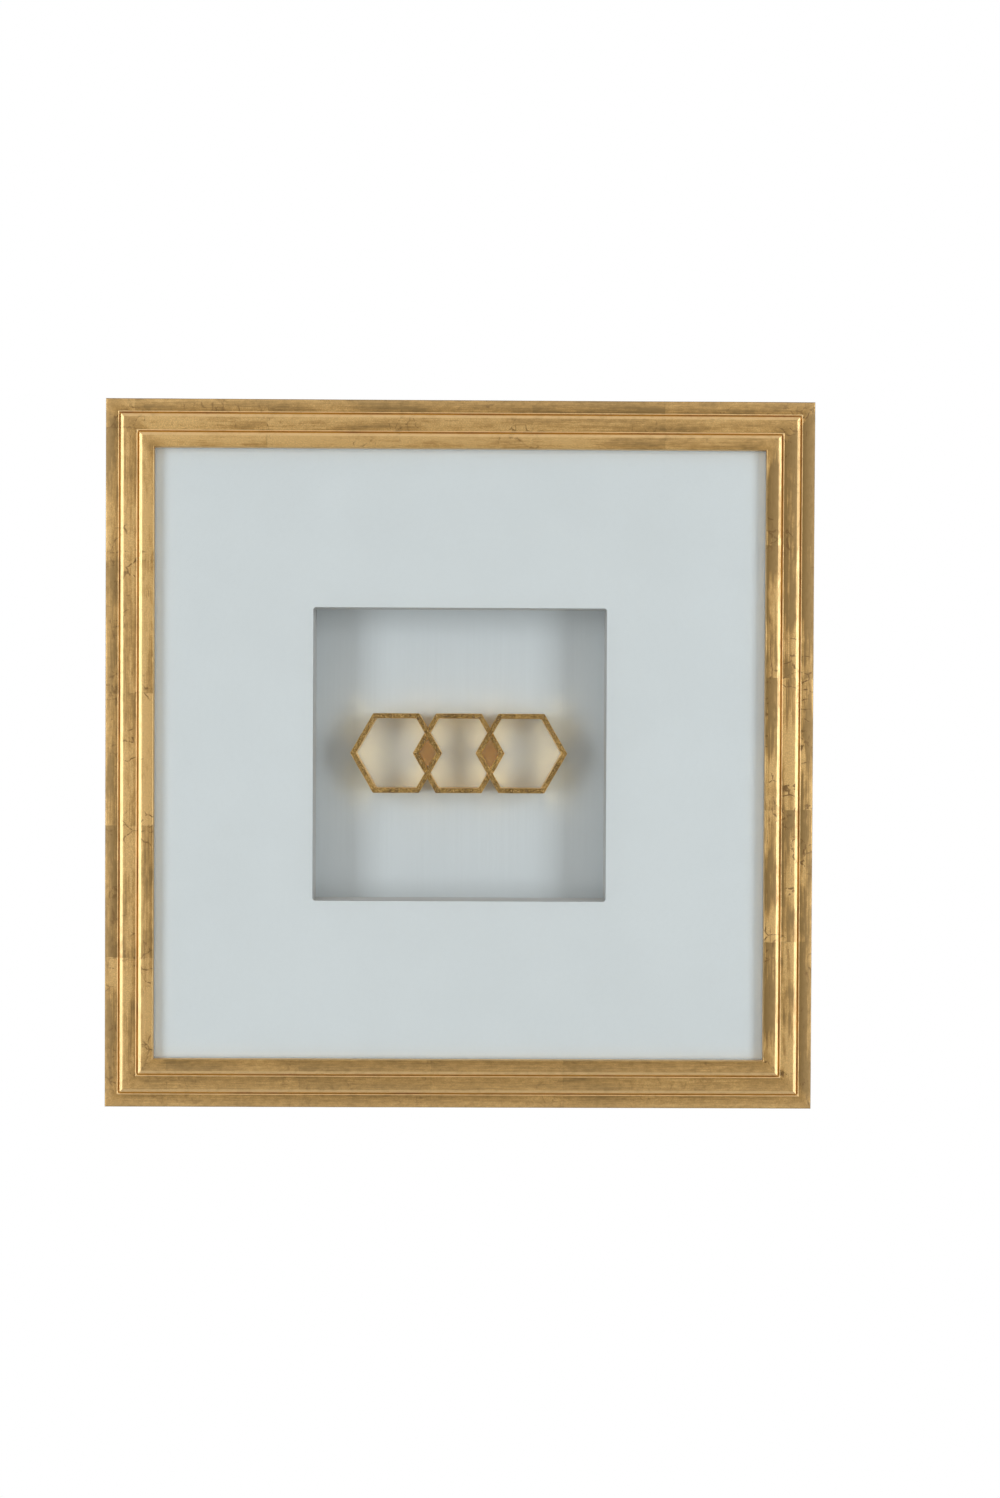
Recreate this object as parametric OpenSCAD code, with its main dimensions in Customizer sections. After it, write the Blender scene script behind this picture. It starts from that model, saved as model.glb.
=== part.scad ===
// Gilded shadow-box frame with three interlocked hexagon rings floating in a deep window.
// +Z is up, the face looks along -Y and the wall lies in the plane Y = 0.
// The origin is the centre of the frame on that wall plane. Lengths are in millimetres.

/* [Frame] */
// Outside width and height of the square frame
frame_side = 686; // [600:1:800]
// Width of a rail's face, from its outer edge to its sight edge
rail_w = 47.5; // [46:0.5:54]
// Depth of a rail, from its back to its highest step
rail_d = 70; // [66:1:80]
// Distance from the outer edge to the first step
step_1 = 14.7; // [13:0.1:16]
// Distance from the outer edge to the second step
step_2 = 33.1; // [31:0.1:35]
// Height of each step
step_h = 3.6; // [3.2:0.1:4.5]
// Width of the bevel along the top of each step
bevel_w = 2.8; // [2:0.1:3.5]
// Height of that bevel
bevel_h = 1.3; // [0.8:0.1:1.8]
// Width of the quirk cut at the foot of each step
quirk_w = 1.4; // [0.8:0.1:2]
// Depth of the quirk below the flat beside it
quirk_d = 0.7; // [0.6:0.1:2]
// Radius of the fine bead beside the quirk
bead_r = 0.9; // [0.6:0.1:1.2]
// Height of the bead above the flat
bead_h = 0.4; // [0.2:0.1:0.5]
// Radius of the outer and sight edges
edge_r = 1; // [0.5:0.1:1.5]
// Width of the lip that holds the pane
lip_w = 7.5; // [6:0.5:10]
// Thickness of the lip at the sight edge
lip_t = 8; // [6:0.5:9]

/* [Package] */
// Thickness of the clear pane
pane_t = 2; // [2:0.5:3]
// Thickness of the window mat
mat_t = 3; // [2:0.5:4]
// Width and height of the mat's window
window = 285; // [260:1:320]
// Radius of the window's corners
window_r = 3; // [1:0.5:4]
// Depth from the mat's face to the mount panel
recess_d = 46; // [40:1:48]
// Thickness of the recess walls
wall_t = 5; // [3:0.5:8]
// Thickness of the spacer strips
spacer_t = 10; // [8:0.5:14]
// Thickness of the filler board
filler_t = 5; // [3:0.5:6]
// Thickness of the backing board
backing_t = 3; // [2.5:0.5:4]
// Play around every board in the rabbet
board_play = 1; // [0.5:0.1:1.5]

/* [Rings] */
// Height of each hexagon ring across its flats
ring_flats = 78; // [60:1:80]
// Distance between neighbouring ring centres
ring_pitch = 61.4; // [60:0.1:64]
// How far the row of rings is mounted to the right of the frame's centre
row_x = -1.1; // [-3:0.1:3]
// How far the row of rings is mounted above the frame's centre
row_z = 1; // [-3:0.1:3]
// Thickness of a ring's wall
ring_t = 5; // [4.5:0.1:6]
// Depth of the rings, front to back
ring_d = 28; // [20:1:32]
// Radius of the pins that hold the rings
pin_r = 1; // [0.8:0.1:1.2]
// Length of the pins
pin_l = 12; // [10:1:16]

/* [Hardware] */
// Gap between the frame's back and the wall
wall_gap = 6; // [6:0.5:8]
// Distance of the turn buttons from the middle of their rail
button_at = 215; // [180:1:230]
// Length of a turn button
button_l = 34; // [30:1:35]
// Width of a turn button
button_w = 12; // [10:1:14]
// Thickness of a turn button
button_t = 1.5; // [1.2:0.1:2]
// Height of the hanger pivots above the frame's centre
hanger_at = 114; // [90:1:140]
// Width of the hanger straps
strap_w = 14; // [12:1:15]
// Length of a hanger strap below its pivot
strap_l = 43; // [42:1:50]
// Thickness of one leaf of the strap
leaf_t = 1.2; // [1:0.1:1.2]
// Radius of the hanger ring's wire
wire_r = 1.5; // [1.3:0.1:1.5]
// Radius of the ring's bow, to the middle of its wire
bow_r = 10.5; // [10:0.1:12]
// Radius of the wall bumpers
bumper_r = 6; // [5:0.5:8]

/* [Hidden] */
$fn = 48;

// Small overlap that keeps cuts clean
eps = 0.01;
// Half the outside size
half = frame_side / 2;
// Half the opening between the rabbets
rabbet = half - rail_w + lip_w;
// Width and height of the boards that lie in the rabbet
board = 2 * (rabbet - board_play);

// The stack of boards, from the frame's back towards its face
back_y = -wall_gap;
backing_y = back_y - backing_t;
filler_y = backing_y - filler_t;
pane_back_y = back_y - rail_d + lip_t + pane_t;
mat_back_y = pane_back_y + mat_t;
panel_face_y = pane_back_y + recess_d;
panel_t = filler_y - panel_face_y;
ring_face_y = panel_face_y - ring_d;

// Screws
screw_r = 1.75;
screw_fit = 0.08;
screw_l = 16;
head_r = 3.6;
head_h = 1.9;
recess_w = 0.9;
recess_l = 3.8;
recess_h = 1.1;

// Turn buttons: the pivot's distance from the rabbet, the plate's lift off the frame
// and the distance from the pivot to the plate's short end
button_in = 12;
button_lift = 0.1;
button_heel = 8;
button_places = [
    [0, -button_at], [0, button_at], [90, -button_at], [90, button_at],
    [180, -button_at], [180, button_at], [270, -button_at], [270, button_at]
];

// Hangers: the strap's loop turns about the ring's bar
loop_r = wire_r + screw_fit;
pivot_y = back_y + leaf_t + loop_r;
arm_l = 5;
corner_r = 2.5;
rest_tilt = 5;
hole_1 = 23;
hole_2 = 36.5;
hanger_x = rabbet + (half - rabbet) / 2;

// V-nails: distance of each pair from the outer edges, leg length, strip and depth
v_nail_at = [12, 27];
v_nail_leg = 8;
v_nail_t = 0.7;
v_nail_d = 10;
v_nail_sink = 0.4;

// Bumpers: distance from the middle of the bottom rail
bumper_at = 290;

// Colours
gold = [0.69, 0.54, 0.33];
bare_wood = [0.74, 0.60, 0.43];
off_white = [0.80, 0.83, 0.84];
zinc = [0.70, 0.71, 0.72];
brass_gold = [0.66, 0.50, 0.27];

// ---- Rails ----

// What a square corner at the origin loses to an edge of radius r, with its solid at +X, +Y
module edge_loss(r) {
    difference() {
        translate([-eps, -eps]) square(r + eps);
        translate([r, r]) circle(r);
    }
}

// Groove at the foot of a step that stands at the origin, with its far edge cut away
// down to the middle of the bead
module quirk() {
    translate([-quirk_w, -quirk_d]) square([quirk_w, quirk_d + eps]);
    translate([-quirk_w - bead_r, bead_h - bead_r]) square([bead_r + eps, bead_r]);
}

// Bead beside the groove of a step that stands at the origin
module bead() {
    translate([-quirk_w - bead_r, bead_h - bead_r]) circle(bead_r);
}

// What a step loses to its bevel, with the step's top corner at the origin and its solid
// at +X, -Y
module bevel() {
    over = 0.05;
    polygon([
        [-over * bevel_w, -(1 + over) * bevel_h],
        [(1 + over) * bevel_w, over * bevel_h],
        [-over * bevel_w, over * bevel_h]
    ]);
}

// Section of a rail: X runs inwards from the outer edge and Y from the back to the face
module rail_section() {
    low = rail_d - 2 * step_h;
    mid = rail_d - step_h;
    translate([step_1, low]) bead();
    translate([step_2, mid]) bead();
    difference() {
        union() {
            square([rail_w - lip_w, low]);
            translate([0, low - lip_t]) square([rail_w, lip_t]);
            translate([step_1, low - eps]) square([rail_w - step_1, step_h + eps]);
            translate([step_2, mid - eps]) square([rail_w - step_2, step_h + eps]);
        }
        translate([rail_w - lip_w, -eps]) square([lip_w + eps, rail_d - lip_t + eps]);
        translate([0, low]) mirror([0, 1]) edge_loss(edge_r);
        translate([step_1, mid]) bevel();
        translate([step_2, rail_d]) bevel();
        translate([rail_w, rail_d]) mirror([0, 1]) mirror([1, 0]) edge_loss(edge_r);
        translate([step_1, low]) quirk();
        translate([step_2, mid]) quirk();
        edge_loss(edge_r);
    }
}

// One mitred rail, turned from the top of the frame to its own side
module rail(turn) {
    color(gold) difference() {
        rotate([0, turn, 0]) intersection() {
            translate([0, back_y, half])
                rotate([180, 90, 0])
                    linear_extrude(height = frame_side, center = true) rail_section();
            rotate([90, 0, 0])
                linear_extrude(height = rail_d + 2 * wall_gap)
                    polygon([[0, 0], [half + 1, half + 1], [-half - 1, half + 1]]);
        }
        v_nails(v_nail_sink + 1);
        button_screw_shanks(screw_r);
        hanger_screw_shanks(screw_r);
    }
}

// Two V-nails driven across the mitre at each corner, a little below the back.
// With more length behind them they are the slots that they sit in.
module v_nails(behind = 0) {
    for (turn = [0 : 90 : 270])
        for (at = v_nail_at)
            rotate([0, turn, 0])
                translate([half - at, back_y - v_nail_sink + behind, half - at])
                    rotate([90, 0, 0])
                        linear_extrude(height = v_nail_d + behind)
                            union() {
                                translate([-v_nail_leg, -v_nail_t / 2])
                                    square([v_nail_leg + v_nail_t / 2, v_nail_t]);
                                translate([-v_nail_t / 2, -v_nail_leg])
                                    square([v_nail_t, v_nail_leg + v_nail_t / 2]);
                            }
}

module corner_v_nails() {
    color(zinc) v_nails();
}

// ---- Boards ----

// A square board whose back lies at y, with its thickness towards the face
module board_at(y, t) {
    translate([-board / 2, y - t, -board / 2]) cube([board, t, board]);
}

module clear_pane() {
    color([0.85, 0.92, 0.92, 0.3]) board_at(pane_back_y, pane_t);
}

// Square outline of the window with rounded corners
module window_outline() {
    flat = window - 2 * window_r;
    square([window, flat], center = true);
    square([flat, window], center = true);
    for (x = [-flat / 2, flat / 2])
        for (y = [-flat / 2, flat / 2])
            translate([x, y]) circle(window_r);
}

module window_mat() {
    color(off_white) difference() {
        board_at(mat_back_y, mat_t);
        translate([0, mat_back_y + 1, 0])
            rotate([90, 0, 0])
                linear_extrude(height = mat_t + 2) window_outline();
    }
}

// A strip of the given length and thickness that fills the space behind the mat
module strip(turn, inside, length, t) {
    rotate([0, turn, 0])
        translate([-length / 2, mat_back_y, inside])
            cube([length, panel_face_y - mat_back_y, t]);
}

module recess_wall(turn) {
    long = (turn == 0 || turn == 180) ? window + 2 * wall_t : window;
    color(off_white) strip(turn, window / 2, long, wall_t);
}

module spacer(turn) {
    long = (turn == 0 || turn == 180) ? board : board - 2 * spacer_t;
    color(bare_wood) strip(turn, board / 2 - spacer_t, long, spacer_t);
}

module mount_panel() {
    color(off_white) difference() {
        board_at(filler_y, panel_t);
        pins();
    }
}

module filler_board() {
    color([0.93, 0.93, 0.91]) board_at(backing_y, filler_t);
}

module backing_board() {
    color([0.42, 0.30, 0.20]) board_at(back_y, backing_t);
}

// ---- Hexagon rings ----

// Outline of a flat-topped hexagon ring whose centre is x along the row
module ring_outline(x) {
    outer_r = ring_flats / sqrt(3);
    inner_r = (ring_flats - 2 * ring_t) / sqrt(3);
    translate([row_x + x, row_z]) difference() {
        circle(outer_r, $fn = 6);
        circle(inner_r, $fn = 6);
    }
}

// The outline raised from y towards the face by depth
module ring_band(x, y, depth) {
    translate([0, y, 0])
        rotate([90, 0, 0])
            linear_extrude(height = depth) ring_outline(x);
}

// The end rings are notched from behind, to half their depth, where the middle ring crosses
module end_ring(x) {
    color(brass_gold) difference() {
        ring_band(x, panel_face_y, ring_d);
        ring_band(0, panel_face_y + 1, ring_d / 2 + 1);
        pins();
    }
}

// The middle ring is notched from the front, where the end rings cross
module hexagon_center() {
    color(brass_gold) difference() {
        ring_band(0, panel_face_y, ring_d);
        ring_band(-ring_pitch, panel_face_y - ring_d / 2, ring_d / 2 + 1);
        ring_band(ring_pitch, panel_face_y - ring_d / 2, ring_d / 2 + 1);
        pins();
    }
}

module hexagon_left() {
    end_ring(-ring_pitch);
}

module hexagon_right() {
    end_ring(ring_pitch);
}

// Two pins a ring, through the mount panel into the middle of its top and bottom walls
module pins() {
    for (x = [-ring_pitch, 0, ring_pitch])
        for (z = [-1, 1])
            translate([row_x + x, filler_y, row_z + z * (ring_flats - ring_t) / 2])
                rotate([90, 0, 0]) cylinder(h = pin_l, r = pin_r);
}

module ring_pins() {
    color(zinc) pins();
}

// ---- Turn buttons ----

// Moves its children to a button's pivot on the frame's back, with +Z away from the centre
module at_button(place) {
    rotate([0, place[0], 0])
        translate([place[1], back_y, rabbet + button_in])
            children();
}

module button_screw_shanks(r) {
    for (place = button_places)
        at_button(place)
            rotate([90, 0, 0]) cylinder(h = screw_l, r = r);
}

// Plate with round ends that points from its pivot towards the centre of the frame
module turn_button(place) {
    reach = button_l - button_heel - button_w / 2;
    heel = button_heel - button_w / 2;
    color(zinc) at_button(place)
        translate([0, button_lift + button_t, 0])
            rotate([90, 0, 0])
                linear_extrude(height = button_t)
                    difference() {
                        union() {
                            translate([0, heel]) circle(button_w / 2);
                            translate([0, -reach]) circle(button_w / 2);
                            translate([-button_w / 2, -reach]) square([button_w, reach + heel]);
                        }
                        circle(screw_r + screw_fit);
                    }
}

// Pan head at the origin with its underside at Z = 0 and a crossed recess
module screw_head() {
    difference() {
        rotate_extrude()
            intersection() {
                union() {
                    square([head_r - head_h / 2, head_h]);
                    square([head_r, head_h / 2]);
                    translate([head_r - head_h / 2, head_h / 2]) circle(head_h / 2);
                }
                square([head_r, head_h]);
            }
        for (turn = [0, 90])
            rotate([0, 0, turn])
                translate([-recess_l / 2, -recess_w / 2, head_h - recess_h])
                    cube([recess_l, recess_w, recess_h + 1]);
    }
}

// A screw from the frame's back: grip is the height of the head's underside
module screw(grip) {
    rotate([90, 0, 0]) cylinder(h = screw_l, r = screw_r);
    rotate([-90, 0, 0]) union() {
        cylinder(h = grip + eps, r = screw_r);
        translate([0, 0, grip]) screw_head();
    }
}

module turn_button_screws() {
    color(zinc)
        for (place = button_places)
            at_button(place) screw(2 * button_lift + button_t);
}

// ---- Hangers ----

// Moves its children to a hanger's pivot at the middle of a side rail; side is -1 or 1
module at_hanger(side) {
    translate([side * hanger_x, pivot_y, hanger_at]) children();
}

module hanger_screw_shanks(r) {
    for (side = [-1, 1])
        for (hole = [hole_1, hole_2])
            translate([side * hanger_x, back_y, hanger_at - hole])
                rotate([90, 0, 0]) cylinder(h = screw_l, r = r);
}

// Strap folded double around the ring's bar, with two screw holes
module hanger_strap(side) {
    outer = loop_r + leaf_t;
    color(zinc) at_hanger(side) difference() {
        intersection() {
            rotate([90, 0, 90])
                linear_extrude(height = strap_w, center = true)
                    difference() {
                        union() {
                            circle(outer);
                            translate([-outer, -strap_l]) square([2 * leaf_t, strap_l]);
                        }
                        circle(loop_r);
                    }
            rotate([90, 0, 0])
                linear_extrude(height = 3 * outer, center = true)
                    union() {
                        translate([-strap_w / 2, strap_w / 2 - strap_l])
                            square([strap_w, strap_l]);
                        translate([0, strap_w / 2 - strap_l]) circle(strap_w / 2);
                    }
        }
        for (hole = [hole_1, hole_2])
            translate([0, 0, -hole])
                rotate([90, 0, 0])
                    cylinder(h = 4 * outer, r = screw_r + screw_fit, center = true);
    }
}

// D-ring hanging from its pivot and leaning on the strap
module hanger_ring(side) {
    straight = bow_r - corner_r;
    color(zinc) at_hanger(side) rotate([rest_tilt, 0, 0]) union() {
        rotate([0, 90, 0]) cylinder(h = 2 * straight, r = wire_r, center = true);
        for (end = [-1, 1]) {
            translate([end * straight, 0, -corner_r])
                rotate([90, 0, 0])
                    rotate([0, 0, end > 0 ? 0 : 90])
                        rotate_extrude(angle = 90)
                            translate([corner_r, 0]) circle(wire_r);
            translate([end * bow_r, 0, -arm_l]) cylinder(h = arm_l - corner_r, r = wire_r);
        }
        translate([0, 0, -arm_l])
            rotate([90, 0, 0])
                rotate([0, 0, 180])
                    rotate_extrude(angle = 180)
                        translate([bow_r, 0]) circle(wire_r);
    }
}

module hanger_screws() {
    color(zinc)
        for (side = [-1, 1])
            for (hole = [hole_1, hole_2])
                translate([side * hanger_x, back_y, hanger_at - hole]) screw(2 * leaf_t);
}

// ---- Bumpers ----

// Felt disc between the bottom rail and the wall
module bumper(side) {
    color([0.25, 0.25, 0.26])
        translate([side * bumper_at, back_y, (rail_w - lip_w) / 2 - half])
            rotate([-90, 0, 0]) cylinder(h = wall_gap, r = bumper_r);
}

rail(0);  // rail_top
rail(90);  // rail_right
rail(180);  // rail_bottom
rail(270);  // rail_left
corner_v_nails();
clear_pane();
window_mat();
recess_wall(0);  // recess_wall_top
recess_wall(90);  // recess_wall_right
recess_wall(180);  // recess_wall_bottom
recess_wall(270);  // recess_wall_left
spacer(0);  // spacer_top
spacer(90);  // spacer_right
spacer(180);  // spacer_bottom
spacer(270);  // spacer_left
mount_panel();
filler_board();
backing_board();
hexagon_left();
hexagon_center();
hexagon_right();
ring_pins();
turn_button(button_places[0]);  // turn_button_top_left
turn_button(button_places[1]);  // turn_button_top_right
turn_button(button_places[2]);  // turn_button_right_upper
turn_button(button_places[3]);  // turn_button_right_lower
turn_button(button_places[4]);  // turn_button_bottom_right
turn_button(button_places[5]);  // turn_button_bottom_left
turn_button(button_places[6]);  // turn_button_left_lower
turn_button(button_places[7]);  // turn_button_left_upper
turn_button_screws();
hanger_strap(-1);  // hanger_strap_left
hanger_strap(1);  // hanger_strap_right
hanger_ring(-1);  // hanger_ring_left
hanger_ring(1);  // hanger_ring_right
hanger_screws();
bumper(-1);  // bumper_left
bumper(1);  // bumper_right
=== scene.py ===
"""Gilded shadow-box frame with three interlocked hexagon rings in a deep window.

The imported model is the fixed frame. The four rails, the three rings and the felt bumpers
are rebuilt here as finer meshes, and every other node keeps its shape and gets a better
material. Lengths are in metres, +Z is up, the face looks along -Y and the wall is Y = 0.
"""

import math

import bmesh
import bpy
import numpy as np
from mathutils import Euler, Matrix, Vector, noise


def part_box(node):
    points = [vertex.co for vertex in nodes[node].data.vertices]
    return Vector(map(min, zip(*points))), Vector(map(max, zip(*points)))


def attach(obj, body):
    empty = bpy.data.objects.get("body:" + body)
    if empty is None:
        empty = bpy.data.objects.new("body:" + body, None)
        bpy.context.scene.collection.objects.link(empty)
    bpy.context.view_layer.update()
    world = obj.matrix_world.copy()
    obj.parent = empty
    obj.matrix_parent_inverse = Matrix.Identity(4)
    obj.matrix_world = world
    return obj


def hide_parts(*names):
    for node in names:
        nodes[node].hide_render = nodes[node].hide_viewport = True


MM = 0.001

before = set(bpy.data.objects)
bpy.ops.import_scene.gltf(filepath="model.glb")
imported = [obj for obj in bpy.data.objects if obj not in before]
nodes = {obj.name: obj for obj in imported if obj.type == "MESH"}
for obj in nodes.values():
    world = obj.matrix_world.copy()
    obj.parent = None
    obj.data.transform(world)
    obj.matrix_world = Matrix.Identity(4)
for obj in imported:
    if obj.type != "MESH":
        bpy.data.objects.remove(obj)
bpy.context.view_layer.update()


# ---- Small helpers ----


def mesh_object(name, verts, faces):
    """A new mesh object in the scene, from vertices and faces."""
    mesh = bpy.data.meshes.new(name)
    mesh.from_pydata(verts, [], faces)
    mesh.update()
    obj = bpy.data.objects.new(name, mesh)
    bpy.context.scene.collection.objects.link(obj)
    return obj


def shade_smooth(obj, angle=35):
    """Smooth shading, with edges sharper than angle in degrees left crisp."""
    mesh = obj.data
    mesh.polygons.foreach_set("use_smooth", [True] * len(mesh.polygons))
    mesh.set_sharp_from_angle(angle=math.radians(angle))


def face_outwards(obj):
    """Turns every face of a closed mesh outwards."""
    bm = bmesh.new()
    bm.from_mesh(obj.data)
    bmesh.ops.recalc_face_normals(bm, faces=bm.faces)
    bm.to_mesh(obj.data)
    bm.free()


def apply_modifiers(obj):
    """Replaces obj's mesh with what its modifiers make of it."""
    graph = bpy.context.evaluated_depsgraph_get()
    made = bpy.data.meshes.new_from_object(obj.evaluated_get(graph))
    obj.modifiers.clear()
    obj.data = made


class Shader:
    """Builds one procedural material, node by node."""

    def __init__(self, name):
        self.material = bpy.data.materials.new(name)
        self.material.use_nodes = True
        self.use(self.material.node_tree, "ShaderNodeOutputMaterial")

    @classmethod
    def of_tree(cls, tree, output):
        """A builder for a tree that isn't a material's, such as the world's."""
        made = cls.__new__(cls)
        made.use(tree, output)
        return made

    def use(self, tree, output):
        self.tree = tree
        tree.nodes.clear()
        self.out = tree.nodes.new(output)

    def plug(self, value, socket):
        """Links a socket, or sets a plain value."""
        if isinstance(value, bpy.types.NodeSocket):
            self.tree.links.new(value, socket)
        elif value is not None:
            socket.default_value = value

    def node(self, kind, inputs=None, **settings):
        """A node with its settings, and its inputs by name or number."""
        made = self.tree.nodes.new("ShaderNode" + kind)
        for key, value in settings.items():
            setattr(made, key, value)
        for key, value in (inputs or {}).items():
            self.plug(value, made.inputs[key])
        return made

    def math(self, operation, a, b=None):
        return self.node("Math", {0: a, 1: b}, operation=operation).outputs[0]

    def plus(self, a, b):
        return self.math("ADD", a, b)

    def minus(self, a, b):
        return self.math("SUBTRACT", a, b)

    def times(self, a, b):
        return self.math("MULTIPLY", a, b)

    def size(self, value):
        """The value without its sign."""
        return self.math("ABSOLUTE", value)

    def swing(self, fac, gain):
        """A noise around 0.5 turned into one around zero, gain times as strong."""
        return self.times(self.minus(fac, 0.5), gain)

    def stretch(self, vector, scale):
        """The vector with each component multiplied by its own scale."""
        made = self.node("VectorMath", {0: vector, 1: scale}, operation="MULTIPLY")
        return made.outputs[0]

    def noise(self, vector, scale, detail=3.0, roughness=0.55, distortion=0.0):
        inputs = {
            "Vector": vector,
            "Scale": scale,
            "Detail": detail,
            "Roughness": roughness,
            "Distortion": distortion,
        }
        return self.node("TexNoise", inputs).outputs["Fac"]

    def between(self, value, low, high, to_low=0.0, to_high=1.0):
        """The value mapped smoothly from low..high to to_low..to_high, and held there."""
        inputs = {"Value": value, 1: low, 2: high, 3: to_low, 4: to_high}
        made = self.node("MapRange", inputs, interpolation_type="SMOOTHSTEP", clamp=True)
        return made.outputs[0]

    def mix(self, factor, a, b, blend="MIX"):
        """Two colours mixed."""
        made = self.node("Mix", data_type="RGBA", blend_type=blend)
        self.plug(factor, made.inputs["Factor"])
        self.plug(a, made.inputs["A"])
        self.plug(b, made.inputs["B"])
        return made.outputs["Result"]

    def bump(self, height, distance, strength):
        inputs = {"Height": height, "Distance": distance, "Strength": strength}
        return self.node("Bump", inputs).outputs[0]

    def attribute(self, name):
        return self.node("Attribute", attribute_name=name).outputs

    def principled(self, inputs):
        made = self.node("BsdfPrincipled", inputs)
        self.tree.links.new(made.outputs[0], self.out.inputs[0])
        return self.material

    def position(self):
        """The point in the object's own frame, in metres."""
        return self.node("TexCoord").outputs["Object"]

    def parts(self, vector):
        return self.node("SeparateXYZ", {0: vector}).outputs


def rgb(red, green, blue):
    return (red, green, blue, 1.0)


# ---- Materials ----

LEAF_PITCH = 0.128
MITRE_REACH = 22 * MM
GOLD = rgb(0.56, 0.339, 0.120)
GOLD_PALE = rgb(0.76, 0.505, 0.21)
GOLD_OLIVE = rgb(0.20, 0.128, 0.049)
# Paler gold on the rounded edges and bevels: a painted highlight
GOLD_PAINTED_HIGHLIGHT = rgb(0.86, 0.61, 0.31)
BOLE = rgb(0.24, 0.095, 0.03)
FOLD_BROWN = rgb(0.17, 0.095, 0.035)
# Quirk colour: partly the bole showing in the grooves, partly painted shade of the groove
QUIRK_BOLE_AND_SHADE = rgb(0.52, 0.27, 0.055)

# How fine each pattern of the leaf is along a rail, across it and above its back, per metre
CLOUDS = (11.0, 48.0, 48.0)
STREAKS = (13.0, 430.0, 430.0)
BRUSHING = (45.0, 1400.0, 1400.0)
MOTTLING = (130.0, 240.0, 240.0)
FOLDS = (70.0, 44.0, 44.0)
FOLDED_PLACES = (18.0, 30.0, 30.0)
DASHES = (38.0, 620.0, 620.0)
RUBBING = (24.0, 300.0, 300.0)


def leaf_squares(s, leaf):
    """The number of the leaf square at each point, and how far that is from its middle.

    The distance is a share of a square, so it is 0.5 at a lap.
    """
    run = s.parts(leaf)[0]
    wobble = s.times(s.noise(leaf, 90.0), 0.012)
    squares = s.plus(s.math("DIVIDE", run, LEAF_PITCH), wobble)
    from_middle = s.size(s.minus(s.math("FRACT", squares), 0.5))
    return s.math("FLOOR", squares), from_middle


def leaf_signal(s, leaf, square, brushed, mottle):
    """How dark the leaf is: about zero on the whole, more where it is rubbed and browned."""
    edge, wear = s.parts(s.attribute("marks")["Vector"])[1:3]
    tone_and_painted_shade = s.attribute("tone_and_painted_shade")["Fac"]
    tone = s.node("TexWhiteNoise", {"W": square}, noise_dimensions="1D").outputs["Value"]
    cloud = s.node("TexNoise", {
        "Vector": s.stretch(leaf, CLOUDS), "W": s.plus(s.times(square, 3.7), 11.3),
        "Scale": 1.0, "Detail": 3.0, "Roughness": 0.6,
    }, noise_dimensions="4D").outputs["Fac"]
    streak = s.noise(s.stretch(leaf, STREAKS), 1.0, detail=3.0, roughness=0.6)
    signal = s.plus(s.swing(cloud, 6.5), s.plus(s.swing(tone, 0.60), s.swing(streak, 2.4)))
    # Each flat's darkening is partly the rail's own tone and partly painted shade
    signal = s.plus(s.plus(s.times(signal, wear), tone_and_painted_shade), s.swing(brushed, 2.2))

    # Near a mitre both rails share one pattern, so the rails' different tones and painted shade
    # meet without a seam
    at = s.position()
    x, _, z = s.parts(at)
    mitre = s.between(s.size(s.minus(s.size(x), s.size(z))), MITRE_REACH, 1 * MM)
    corner = s.plus(s.swing(s.noise(at, 48.0, detail=4.0), 3.0), 0.30)
    signal = s.times(signal, s.between(mitre, 0.0, 1.0, 1.0, 0.0))
    signal = s.plus(signal, s.times(corner, mitre))
    # Rounded edges are kept from darkening, as part of the painted highlight
    return s.minus(s.plus(signal, s.swing(mottle, 1.9)), s.times(edge, 0.9))


def leaf_folds(s, leaf, from_middle, mottle):
    """Where the leaf is creased: cracks and dashes, mostly near the laps of worn rails."""
    wear = s.parts(s.attribute("marks")["Vector"])[2]
    near_lap = s.between(from_middle, 0.30, 0.49)
    bends = s.node("TexNoise", {"Vector": leaf, "Scale": 60.0}).outputs["Color"]
    bent = s.node("VectorMath", {
        0: s.stretch(leaf, FOLDS), 1: s.stretch(bends, (0.9, 0.9, 0.9)),
    }, operation="ADD").outputs[0]
    cells = s.node("TexVoronoi", {
        "Vector": bent, "Scale": 1.0,
    }, feature="DISTANCE_TO_EDGE").outputs["Distance"]
    where = s.noise(s.stretch(leaf, FOLDED_PLACES), 1.0, detail=3.0)
    where = s.plus(where, s.times(near_lap, 0.12))
    crack = s.times(s.between(cells, 0.055, 0.010), s.between(where, 0.55, 0.61))
    dash = s.noise(s.stretch(leaf, DASHES), 1.0, detail=2.0)
    dash = s.between(s.plus(dash, s.times(near_lap, 0.035)), 0.66, 0.72)
    fold = s.math("MAXIMUM", crack, s.times(dash, 0.7))
    return s.times(s.times(fold, wear), s.between(mottle, 0.40, 0.55))


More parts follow.
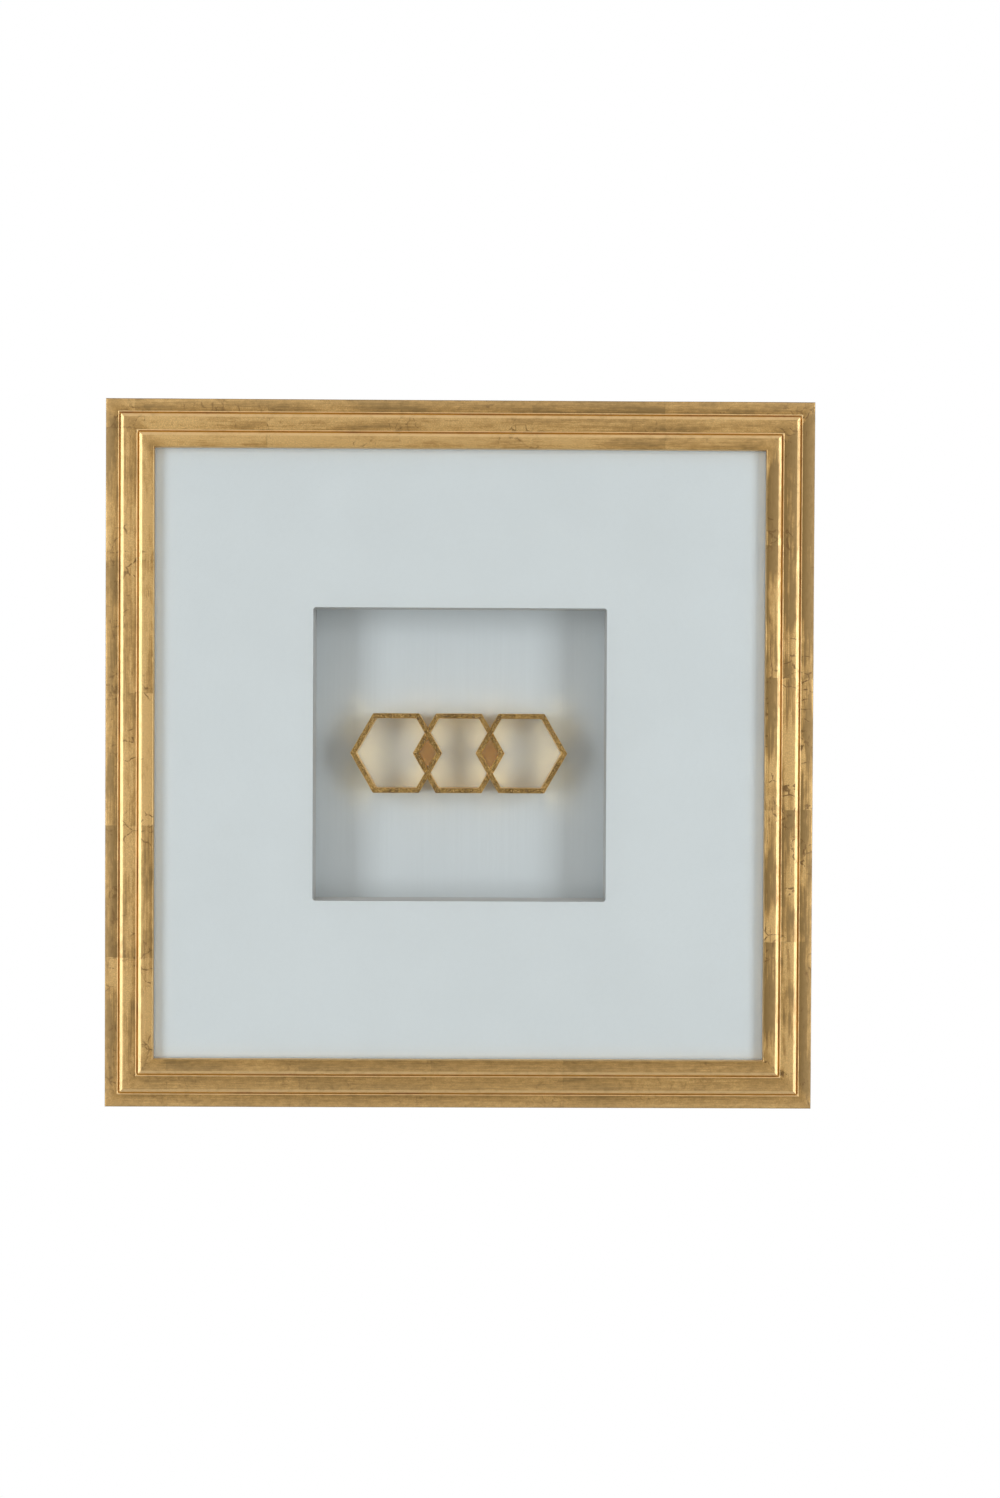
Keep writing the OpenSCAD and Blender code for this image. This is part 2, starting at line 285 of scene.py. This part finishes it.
def gold_leaf():
    """Imitation gold leaf over red-brown bole, laid in squares along each rail.

    The leaf attribute holds the distance along the rail, across it and above its back.
    The marks attribute holds how deep in a quirk, how far onto a rounded edge and how
    worn the leaf is, and a third attribute how much darker it is on the whole: partly the
    rail's own tone, partly painted shading.
    """
    s = Shader("gold_leaf")
    leaf = s.attribute("leaf")["Vector"]
    crevice, edge = s.parts(s.attribute("marks")["Vector"])[0:2]
    brushed = s.noise(s.stretch(leaf, BRUSHING), 1.0, detail=3.0)
    mottle = s.noise(s.stretch(leaf, MOTTLING), 1.0, detail=5.0, roughness=0.65)
    grain = s.noise(leaf, 900.0, detail=4.0, roughness=0.7)
    square, from_middle = leaf_squares(s, leaf)
    signal = leaf_signal(s, leaf, square, brushed, mottle)
    dark = s.between(signal, -0.35, 1.35)
    pale = s.between(signal, 0.20, -0.90)
    lap = s.between(from_middle, 0.490, 0.497)
    fold = leaf_folds(s, leaf, from_middle, mottle)

    base = s.mix(s.times(pale, 0.9), GOLD, GOLD_PALE)
    base = s.mix(s.times(dark, 0.88), base, GOLD_OLIVE)
    base = s.mix(s.between(grain, 0.40, 0.66, 0.42, 0.0), base, GOLD_OLIVE)
    lapped = s.times(lap, s.between(mottle, 0.45, 0.60, 0.05, 0.35))
    base = s.mix(lapped, base, GOLD_OLIVE)
    base = s.mix(s.times(fold, 0.8), base, FOLD_BROWN)
    # Paler gold on the rounded edges, a painted highlight, where the mottling leaves it
    kept = s.between(mottle, 0.42, 0.66, 1.0, 0.72)
    base = s.mix(s.times(edge, kept), base, GOLD_PAINTED_HIGHLIGHT)
    rubbed = s.noise(s.stretch(leaf, RUBBING), 1.0, detail=4.0)
    # Quirks take the darker bole-toned gold: partly real bole in the hollows, partly painted
    # shade
    base = s.mix(crevice, base, QUIRK_BOLE_AND_SHADE)
    bole = s.times(crevice, s.between(rubbed, 0.46, 0.70, 0.0, 0.8))
    base = s.mix(bole, base, BOLE)

    height = s.plus(s.times(brushed, 0.8), s.times(grain, 0.3))
    height = s.minus(height, s.times(fold, 0.8))
    satin = s.plus(s.between(dark, 0.0, 1.0, 0.44, 0.60), s.times(edge, 0.06))
    return s.principled({
        "Base Color": base,
        "Metallic": s.between(bole, 0.0, 1.0, 1.0, 0.35),
        "Roughness": satin,
        "Normal": s.bump(height, 0.10 * MM, 0.7),
    })


def ring_leaf():
    """Gold leaf of the rings: bright on their walls, rubbed and brown on their edges."""
    s = Shader("ring_leaf")
    at = s.position()
    facing = s.parts(s.node("NewGeometry").outputs["Normal"])[1]
    rim = s.between(facing, -0.35, -0.9)
    blotch = s.noise(at, 260.0, detail=5.0, roughness=0.65)
    cloud = s.noise(at, 55.0, detail=3.0)
    grain = s.noise(at, 900.0, detail=3.0, roughness=0.7)
    edge = s.mix(s.between(cloud, 0.35, 0.65), rgb(0.25, 0.150, 0.042), rgb(0.49, 0.31, 0.098))
    edge = s.mix(s.between(blotch, 0.46, 0.66, 0.0, 0.9), edge, rgb(0.09, 0.045, 0.016))
    edge = s.mix(s.between(grain, 0.38, 0.54, 0.75, 0.0), edge, rgb(0.12, 0.07, 0.022))
    edge = s.mix(s.between(grain, 0.52, 0.64, 0.0, 0.70), edge, rgb(0.88, 0.61, 0.26))
    stain = s.between(blotch, 0.54, 0.72, 0.0, 0.3)
    wall = s.mix(stain, rgb(0.88, 0.605, 0.238), rgb(0.60, 0.35, 0.11))
    height = s.plus(s.times(grain, 0.5), blotch)
    worn = s.between(blotch, 0.5, 0.7)
    satin = s.between(blotch, 0.35, 0.7, 0.24, 0.38)
    return s.principled({
        "Base Color": s.mix(rim, wall, edge),
        "Metallic": s.between(s.times(worn, rim), 0.0, 1.0, 1.0, 0.6),
        "Roughness": s.plus(satin, s.times(rim, 0.15)),
        "Normal": s.bump(height, 0.06 * MM, 0.5),
    })


def paper(name, colour, fibre, streaks=0.0):
    """Matte board: fine tooth, faint fibres and, if asked, faint vertical streaks."""
    s = Shader(name)
    at = s.position()
    tooth = s.noise(at, 1500.0, detail=3.0, roughness=0.6)
    flecks = s.noise(s.stretch(at, (260.0, 260.0, 420.0)), 1.0, detail=4.0)
    cloud = s.noise(at, 9.0, detail=2.0)
    lines = s.noise(s.stretch(at, (900.0, 900.0, 7.0)), 1.0, detail=2.0)
    dark = rgb(*[c * 0.86 for c in colour[:3]])
    base = s.mix(s.between(flecks, 0.35, 0.75, 0.0, fibre), colour, dark)
    base = s.mix(s.between(cloud, 0.3, 0.7, 0.0, 0.16), base, dark)
    if streaks:
        base = s.mix(s.between(lines, 0.35, 0.70, 0.0, streaks), base, dark)
    height = s.plus(tooth, s.times(lines, streaks))
    return s.principled({
        "Base Color": base,
        "Roughness": s.between(tooth, 0.3, 0.7, 0.82, 0.95),
        "Specular IOR Level": 0.25,
        "Normal": s.bump(height, 0.04 * MM, 0.5),
    })


def wood(name, axis):
    """Planed raw wood with its grain along the axis, 0 for X and 2 for Z."""
    s = Shader(name)
    at = s.position()
    dark = rgb(0.36, 0.225, 0.115)
    along = [320.0, 320.0, 320.0]
    along[axis] = 9.0
    grain = s.noise(s.stretch(at, along), 1.0, detail=5.0, roughness=0.6, distortion=0.3)
    broad = [42.0, 42.0, 42.0]
    broad[axis] = 3.0
    bands = s.noise(s.stretch(at, broad), 1.0, detail=2.0, distortion=0.8)
    pores = s.noise(s.stretch(at, [c * 3.2 for c in along]), 1.0, detail=2.0)
    base = s.mix(s.between(bands, 0.35, 0.65), rgb(0.50, 0.345, 0.20), dark)
    base = s.mix(s.between(grain, 0.40, 0.68, 0.0, 0.75), base, dark)
    base = s.mix(s.between(pores, 0.60, 0.72, 0.0, 0.5), base, rgb(0.16, 0.09, 0.05))
    height = s.minus(grain, s.times(pores, 0.4))
    return s.principled({
        "Base Color": base,
        "Roughness": s.between(grain, 0.3, 0.7, 0.62, 0.82),
        "Normal": s.bump(height, 0.12 * MM, 0.5),
    })


def hardboard():
    """Smooth face of brown hardboard with pressed fibres."""
    s = Shader("hardboard")
    at = s.position()
    fibres = s.noise(s.stretch(at, (330.0, 330.0, 140.0)), 1.0, detail=6.0, roughness=0.7)
    cloud = s.noise(at, 14.0, detail=3.0)
    specks = s.noise(at, 900.0, detail=2.0)
    base = s.mix(s.between(cloud, 0.3, 0.7), rgb(0.19, 0.105, 0.055), rgb(0.27, 0.16, 0.085))
    base = s.mix(s.between(fibres, 0.42, 0.70, 0.0, 0.65), base, rgb(0.38, 0.245, 0.14))
    base = s.mix(s.between(specks, 0.62, 0.72, 0.0, 0.6), base, rgb(0.09, 0.05, 0.03))
    return s.principled({
        "Base Color": base,
        "Roughness": s.between(fibres, 0.3, 0.75, 0.42, 0.66),
        "Normal": s.bump(fibres, 0.05 * MM, 0.4),
    })


def plated_steel(name, colour, rough_low, rough_high):
    """Stamped, plated steel with faint rolling marks and small stains."""
    s = Shader(name)
    at = s.position()
    rolled = s.noise(s.stretch(at, (260.0, 260.0, 2600.0)), 1.0, detail=3.0)
    stains = s.noise(at, 210.0, detail=4.0, roughness=0.65)
    specks = s.noise(at, 1900.0, detail=2.0)
    dull = rgb(*[c * 0.62 for c in colour[:3]])
    base = s.mix(s.between(stains, 0.45, 0.72, 0.0, 0.7), colour, dull)
    base = s.mix(s.between(specks, 0.60, 0.70, 0.0, 0.35), base, rgb(0.22, 0.18, 0.14))
    height = s.plus(rolled, s.times(specks, 0.5))
    return s.principled({
        "Base Color": base,
        "Metallic": 1.0,
        "Roughness": s.between(stains, 0.3, 0.75, rough_low, rough_high),
        "Normal": s.bump(height, 0.02 * MM, 0.5),
    })


def felt():
    """Pressed wool felt, dark grey with paler hairs."""
    s = Shader("felt")
    at = s.position()
    hairs = s.noise(s.stretch(at, (1500.0, 900.0, 1500.0)), 1.0, detail=5.0, roughness=0.75)
    clumps = s.noise(at, 500.0, detail=3.0)
    base = s.mix(s.between(hairs, 0.35, 0.68), rgb(0.030, 0.030, 0.033), rgb(0.13, 0.13, 0.135))
    return s.principled({
        "Base Color": base,
        "Roughness": s.between(hairs, 0.3, 0.7, 0.88, 1.0),
        "Sheen Weight": 0.6,
        "Sheen Roughness": 0.6,
        "Normal": s.bump(s.plus(hairs, clumps), 0.35 * MM, 0.8),
    })


def museum_glass():
    """Coated picture glass: clear, with a trace of gloss."""
    s = Shader("museum_glass")
    smear = s.noise(s.position(), 26.0, detail=3.0)
    gloss = s.node("BsdfGlossy", {
        "Color": rgb(0.82, 0.88, 1.0),
        "Roughness": s.between(smear, 0.35, 0.7, 0.02, 0.08),
    })
    clear = s.node("BsdfTransparent", {"Color": rgb(0.99, 0.99, 0.995)})
    mirror = s.node("Fresnel", {"IOR": 1.08})
    made = s.node("MixShader", {0: mirror.outputs[0], 1: clear.outputs[0], 2: gloss.outputs[0]})
    s.tree.links.new(made.outputs[0], s.out.inputs[0])
    return s.material


GOLD_LEAF = gold_leaf()
RING_LEAF = ring_leaf()
MAT_WHITE = paper("mat_white", rgb(0.550, 0.590, 0.595), fibre=0.10)
# The mount panel is the mat's white made darker: painted shade that deepens the recess
PANEL_WHITE_PAINTED_SHADE = paper("panel_white_painted_shade", rgb(0.515, 0.558, 0.570), fibre=0.12, streaks=0.22)
# One wall board in two tones: lighter on the top and bottom walls (painted light) and darker on
# the side walls (painted shade), setting the shade at the window's edges and in the panel's side
# bands
WALL_PAINTED_LIGHT = paper("wall_painted_light", rgb(0.600, 0.605, 0.598), fibre=0.12)
WALL_PAINTED_SHADE = paper("wall_painted_shade", rgb(0.455, 0.460, 0.450), fibre=0.12)
FILLER = paper("filler_card", rgb(0.78, 0.76, 0.70), fibre=0.30)
WOOD_ALONG_X = wood("raw_wood_along_x", axis=0)
WOOD_ALONG_Z = wood("raw_wood_along_z", axis=2)
STEEL = plated_steel("bright_steel", rgb(0.55, 0.56, 0.57), 0.30, 0.50)
ZINC = plated_steel("zinc_plate", rgb(0.66, 0.66, 0.64), 0.26, 0.46)
FELT = felt()


def paint_node(name, material):
    """Gives a CAD node that keeps its shape its material."""
    for place in nodes[name].material_slots:
        place.material = material


def ease_edges(name, width):
    """Rounds the sharp edges of a CAD node that keeps its shape."""
    ease = nodes[name].modifiers.new("ease", "BEVEL")
    ease.width = width
    ease.segments = 2
    ease.limit_method = "ANGLE"
    ease.angle_limit = math.radians(50)


# ---- Rails ----

STEPS = (14.7 * MM, 33.1 * MM)
STEP_H = 3.6 * MM
BEVEL_W = 2.8 * MM
BEVEL_H = 1.3 * MM
QUIRK_W = 1.4 * MM
QUIRK_D = 0.7 * MM
BEAD_R = 0.9 * MM
BEAD_H = 0.4 * MM
EDGE_R = 1.0 * MM
LIP_W = 7.5 * MM
LIP_T = 8.0 * MM
GILDED_FROM = 3.0 * MM
STATIONS = 400
GILDED_SPACING = 1.7 * MM
BARE_SPACING = 7 * MM

rail_low, rail_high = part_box("rail_top")
HALF = rail_high.x
BACK_Y = rail_high.y
RAIL_W = rail_high.z - rail_low.z
RAIL_D = rail_high.y - rail_low.y


def arc(centre_u, centre_h, radius, start, end, count=9):
    """So many points on a circle from start to end, in degrees."""
    turns = np.radians(np.linspace(start, end, count))
    return [(centre_u + radius * math.cos(a), centre_h + radius * math.sin(a)) for a in turns]


# The edge tone is how strongly the painted highlight, a paler gold, lies on a point
def crest(points, tone):
    """Gilded outline points whose edge tone rises to the given one halfway along."""
    last = len(points) - 1
    return [(u, h, 1, 0, tone * math.sin(math.pi * k / last)) for k, (u, h) in enumerate(points)]


def bevel(step, top):
    """Outline points of the bevel on a step's top, with its corners softened.

    The middle of the bevel is at full edge tone, where the painted highlight is strongest.
    """
    soft = 0.5 * MM
    lower = (step, top - BEVEL_H)
    upper = (step + BEVEL_W, top)
    points = [(step, lower[1] - soft, 1, 0.1, 0.5)]
    for share, tone in ((0.10, 0.9), (0.22, 1), (0.50, 1), (0.78, 1), (0.90, 0.9)):
        u, h = [a + (b - a) * share for a, b in zip(lower, upper)]
        points.append((u, h, 1, 0, tone))
    points.append((upper[0] + soft, top, 1, 0, 0.2))
    return points


def rail_outline():
    """Outline of a rail's section: u inwards from the outer edge, h from the back to the face.

    Each point is (u, h, gilded, crevice, edge), and the outline is closed.
    """
    low = RAIL_D - 2 * STEP_H
    points = [(u, h, 0, 0, 0) for u, h in arc(EDGE_R, EDGE_R, EDGE_R, 270, 180, 5)]
    points += [(0, GILDED_FROM, 1, 0, 0)]
    points += [(u, h, 1, 0, 0.3) for u, h in arc(EDGE_R, low - EDGE_R, EDGE_R, 180, 90)]
    bead_start = 180 - math.degrees(math.asin(1 - BEAD_H / BEAD_R))
    for step, foot in zip(STEPS, (low, low + STEP_H)):
        bead = arc(step - QUIRK_W - BEAD_R, foot + BEAD_H - BEAD_R, BEAD_R, bead_start, 0)
        points += crest(bead, 0.9)
        points += [(step - QUIRK_W * 0.95, foot - QUIRK_D * 0.85, 1, 0.9, 0)]
        points += [(step - QUIRK_W * 0.80, foot - QUIRK_D, 1, 1, 0)]
        points += [(step - QUIRK_W * 0.20, foot - QUIRK_D, 1, 1, 0), (step, foot, 1, 0.7, 0)]
        points += bevel(step, foot + STEP_H)
    points += crest(arc(RAIL_W - EDGE_R, RAIL_D - EDGE_R, EDGE_R, 90, 0), 0.3)
    # The sight edge's inner wall takes the full painted highlight tone
    points += [(RAIL_W, RAIL_D - EDGE_R - 1 * MM, 1, 0, 1), (RAIL_W, RAIL_D - LIP_T, 1, 0, 1)]
    points += [(RAIL_W - LIP_W, RAIL_D - LIP_T, 0, 0, 0)]
    points += [(RAIL_W - LIP_W, 0, 0, 0, 0)]
    return points


def densify(points, step_gilded, step_plain):
    """Splits the outline's long straight stretches."""
    made = []
    for here, after in zip(points, points[1:] + points[:1]):
        step = step_gilded if here[2] and after[2] else step_plain
        count = max(1, math.ceil(math.dist(here[:2], after[:2]) / step))
        for k in range(count):
            made.append([a + (b - a) * k / count for a, b in zip(here, after)])
    return np.array(made)


def outline_normals(outline):
    """Outward direction at each point of a closed outline that runs clockwise."""
    along = np.roll(outline[:, :2], -1, 0) - np.roll(outline[:, :2], 1, 0)
    across = np.stack([-along[:, 1], along[:, 0]], 1)
    return across / np.linalg.norm(across, axis=1)[:, None]


def unevenness(x, y, z):
    """How far hand-laid gesso stands proud of a true surface at a point, in metres."""
    slow = noise.noise(Vector((x * 7, y * 9, z * 7)))
    fine = noise.noise(Vector((x * 38 + 5, y * 38, z * 38)))
    return (0.10 * slow + 0.045 * fine) * MM


def quirk_filling(place, u):
    """How high gesso has filled a quirk at a point, in metres."""
    patchy = noise.noise(Vector((place.x * 26, u * 60, place.z * 26 + 3)))
    return max(0.0, patchy) * 0.5 * QUIRK_D


def store(mesh, name, kind, key, values):
    """Writes one value for each vertex into a new attribute of the mesh."""
    attribute = mesh.attributes.new(name, kind, "POINT")
    attribute.data.foreach_set(key, np.array(values, np.float32).ravel())


def swept_faces(count):
    """Faces of an outline of count points that is swept through all stations, with its ends."""
    faces = []
    for k in range(STATIONS - 1):
        for i in range(count):
            j = (i + 1) % count
            faces.append((k * count + i, k * count + j, (k + 1) * count + j, (k + 1) * count + i))
    return faces + [tuple(range(count)), tuple(range((STATIONS - 1) * count, STATIONS * count))]


def build_rail(name, node, turn, phase, wear, tones_and_painted_shades):
    """One rail, swept along its side of the frame and cut to the mitres at both ends.

    turn counts quarter turns clockwise from the top, seen from the front.
    phase is where its first leaf starts, in metres, and wear is how patchy its leaf is.
    The last argument says how much darker its outer, middle and inner flats are: partly
    the rail's own tone, partly painted shading.
    """
    outline = densify(rail_outline(), GILDED_SPACING, BARE_SPACING)
    normals = outline_normals(outline)
    count = len(outline)
    outward = Vector((math.sin(turn * math.pi / 2), 0, math.cos(turn * math.pi / 2)))
    along = Vector((outward.z, 0, -outward.x))
    first_leaf = 160 * LEAF_PITCH * turn - phase
    verts, leaf, marks = [], [], []
    for share in np.linspace(-1, 1, STATIONS):
        for (u, h, gilded, deep, edge), (nu, nh) in zip(outline, normals):
            place = outward * (HALF - u) + along * share * (HALF - u)
            lift = unevenness(place.x, h, place.z) if gilded > 0.5 else 0.0
            u_real = u + nu * lift
            h_real = h + nh * lift + deep * quirk_filling(place, u)
            spot = outward * (HALF - u_real) + along * share * (HALF - u_real)
            verts.append((spot.x, BACK_Y - h_real, spot.z))
            leaf.append((share * (HALF - u) + first_leaf, u, h))
            marks.append((deep, edge, wear if u > EDGE_R / 2 else 0.5 * wear))
    obj = mesh_object(name, verts, swept_faces(count))
    store(obj.data, "leaf", "FLOAT_VECTOR", "vector", leaf)
    store(obj.data, "marks", "FLOAT_VECTOR", "vector", marks)
    flats = (STEPS[0] - QUIRK_W, STEPS[0], STEPS[1] - QUIRK_W, STEPS[1])
    outer, middle, inner = tones_and_painted_shades
    # Each flat's darkening across the section: partly the rail's own tone, partly painted shade
    tone_and_painted_shade = np.interp(outline[:, 0], flats, (outer, middle, middle, inner))
    store(obj.data, "tone_and_painted_shade", "FLOAT", "value", np.tile(tone_and_painted_shade, STATIONS))
    obj.data.materials.append(GOLD_LEAF)
    obj.data.materials.append(WOOD_ALONG_X if turn % 2 == 0 else WOOD_ALONG_Z)
    gilded = outline[:, 2] > 0.5
    bare = np.where(gilded & np.roll(gilded, -1), 0, 1).tolist()
    obj.data.polygons.foreach_set("material_index", bare * (STATIONS - 1) + [1, 1])
    face_outwards(obj)
    shade_smooth(obj)
    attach(obj, "frame")
    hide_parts(node)


# The rails' flats are darkened unevenly, rail by rail: partly their own tone, partly painted
# shade
build_rail("moulding_top", "rail_top", turn=0, phase=0.070, wear=0.85,
           tones_and_painted_shades=(0.80, 0.05, -0.04))
build_rail("moulding_right", "rail_right", turn=1, phase=0.053, wear=2.40,
           tones_and_painted_shades=(1.60, 0.70, 0.66))
build_rail("moulding_bottom", "rail_bottom", turn=2, phase=0.027, wear=0.50,
           tones_and_painted_shades=(0.38, 0.36, 0.66))
build_rail("moulding_left", "rail_left", turn=3, phase=0.059, wear=1.20,
           tones_and_painted_shades=(0.76, 0.06, -0.32))


# ---- Rings and bumpers ----


def build_remeshed(name, node, material, voxel, lumps):
    """A finer copy of a CAD solid, with soft edges and an uneven surface.

    lumps holds, for each size of unevenness, its scale and its height in metres.
    """
    obj = bpy.data.objects.new(name, nodes[node].data.copy())
    bpy.context.scene.collection.objects.link(obj)
    remesh = obj.modifiers.new("remesh", "REMESH")
    remesh.mode = "VOXEL"
    remesh.voxel_size = voxel
    soften = obj.modifiers.new("soften", "SMOOTH")
    soften.factor = 0.5
    soften.iterations = 3
    apply_modifiers(obj)
    mesh = obj.data
    spots = [(vert.co.copy(), vert.normal.copy()) for vert in mesh.vertices]
    for vert, (at, normal) in zip(mesh.vertices, spots):
        vert.co = at + normal * sum(noise.noise(at * scale) * rise for scale, rise in lumps)
    mesh.materials.clear()
    mesh.materials.append(material)
    shade_smooth(obj, 60)
    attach(obj, "frame")
    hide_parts(node)


GESSO = ((55, 0.16 * MM), (260, 0.10 * MM))
TUFTS = ((400, 0.10 * MM), (1500, 0.10 * MM))
for side in ("left", "center", "right"):
    build_remeshed("gilt_hexagon_" + side, "hexagon_" + side, RING_LEAF,
                   0.6 * MM, GESSO)
for side in ("left", "right"):
    build_remeshed("felt_bumper_" + side, "bumper_" + side, FELT, 0.35 * MM, TUFTS)


# ---- Boards, fixings and hardware ----

paint_node("window_mat", MAT_WHITE)
# Top and bottom recess walls get the lighter copy, the side walls the darker one: painted light
# and painted shade
for part in ("recess_wall_top", "recess_wall_bottom"):
    paint_node(part, WALL_PAINTED_LIGHT)
for part in ("recess_wall_left", "recess_wall_right"):
    paint_node(part, WALL_PAINTED_SHADE)
paint_node("mount_panel", PANEL_WHITE_PAINTED_SHADE)
paint_node("filler_board", FILLER)
paint_node("backing_board", hardboard())
paint_node("clear_pane", museum_glass())
for part in ("spacer_top", "spacer_bottom"):
    paint_node(part, WOOD_ALONG_X)
for part in ("spacer_left", "spacer_right"):
    paint_node(part, WOOD_ALONG_Z)
for part in ("corner_v_nails", "ring_pins"):
    paint_node(part, STEEL)
for part in sorted(nodes):
    if part.startswith(("turn_button", "hanger")):
        paint_node(part, ZINC)
        ease_edges(part, 0.12 * MM)


# ---- Stage ----

FLOOR_Z = -1.4
FLOOR_REACH = 2.5
FRONT_GLOW = 0.56
FILL_GLOW = 0.06
SIDE_GLOW = 0.10
STEEP_GLOW = 0.42
ABOVE_GLOW = 0.25
BACK_GLOW = 0.50
DIM_GLOW = 0.03
SOFTBOX_AT = (2.1, -1.80, 0.10)
SOFTBOX_SIZE = (0.9, 2.3)
SOFTBOX_WATTS = 42
CAMERA_AT = (0.0193, -2.1767, 0.0373)
CAMERA_TILT = (-0.857, -0.271, -0.534)
CAMERA_LENS = 52.26
SENSOR_W = 36


def build_floor():
    """Pale floor, white to the camera, far enough below to leave the frame hanging."""
    reach = FLOOR_REACH
    corners = [(-reach, -reach, FLOOR_Z), (reach, -reach, FLOOR_Z)]
    corners += [(reach, reach, FLOOR_Z), (-reach, reach, FLOOR_Z)]
    floor = mesh_object("floor", corners, [(0, 1, 2, 3)])
    s = Shader("pale_floor")
    pale = s.node("BsdfDiffuse", {"Color": rgb(0.60, 0.59, 0.57)})
    white = s.node("Emission", {"Color": rgb(1, 1, 1)})
    seen = s.node("LightPath").outputs["Is Camera Ray"]
    either = s.node("MixShader", {0: seen, 1: pale.outputs[0], 2: white.outputs[0]})
    s.plug(either.outputs[0], s.out.inputs[0])
    floor.data.materials.append(s.material)


def build_world():
    """White to the camera. As light it is dim beside the frame and brighter in front of it
    and behind it, most of all straight ahead.
    """
    world = bpy.data.worlds.new("studio")
    world.use_nodes = True
    bpy.context.scene.world = world
    s = Shader.of_tree(world.node_tree, "ShaderNodeOutputWorld")
    right, back, up = s.parts(s.node("TexCoord").outputs["Generated"])
    ahead = s.between(back, -0.72, -0.95, 0.0, FRONT_GLOW)
    steep = s.between(s.size(up), 0.25, 0.75, 0.0, STEEP_GLOW)
    level = s.between(s.size(up), 0.40, 0.80, SIDE_GLOW, 0.0)
    side = s.times(level, s.between(s.size(right), 0.35, 0.60))
    above = s.between(up, 0.0, 0.7, 0.0, ABOVE_GLOW)
    wide = s.plus(s.plus(steep, side), s.plus(above, FILL_GLOW))
    wide = s.times(wide, s.between(back, 0.15, -0.35))
    behind = s.between(back, 0.20, 0.60, DIM_GLOW, BACK_GLOW)
    strength = s.plus(s.plus(ahead, wide), behind)
    lit = s.node("Background", {"Color": rgb(1.0, 0.948, 0.87), "Strength": strength})
    white = s.node("Background", {"Color": rgb(1, 1, 1), "Strength": 1.0})
    seen = s.node("LightPath").outputs["Is Camera Ray"]
    either = s.node("MixShader", {0: seen, 1: lit.outputs[0], 2: white.outputs[0]})
    s.plug(either.outputs[0], s.out.inputs[0])


def build_softbox(side):
    """A large soft light to one side, turned to the frame. side is -1 or 1."""
    data = bpy.data.lights.new("softbox", "AREA")
    data.shape = "RECTANGLE"
    data.size, data.size_y = SOFTBOX_SIZE
    data.energy = SOFTBOX_WATTS
    data.color = (0.94, 0.985, 1.0)
    lamp = bpy.data.objects.new("softbox", data)
    place = Vector((SOFTBOX_AT[0] * side, *SOFTBOX_AT[1:]))
    lamp.location = place
    lamp.rotation_euler = (-place).to_track_quat("-Z", "Y").to_euler()
    bpy.context.scene.collection.objects.link(lamp)


def build_camera():
    """Camera where the front view needs it: a little high and a little right of centre."""
    data = bpy.data.cameras.new("camera")
    data.lens = CAMERA_LENS
    data.sensor_width = SENSOR_W
    camera = bpy.data.objects.new("camera", data)
    tilt = Euler([math.radians(a) for a in CAMERA_TILT], "XYZ").to_matrix().to_4x4()
    level = Matrix.Rotation(math.radians(90), 4, "X")
    camera.matrix_world = Matrix.Translation(CAMERA_AT) @ tilt @ level
    bpy.context.scene.collection.objects.link(camera)
    bpy.context.scene.camera = camera


build_floor()
build_world()
for side in (-1, 1):
    build_softbox(side)
build_camera()
# Sharp light from the gilded walls of the rings onto the panel
bpy.context.scene.cycles.blur_glossy = 0.0
bpy.context.scene.view_settings.view_transform = "Standard"
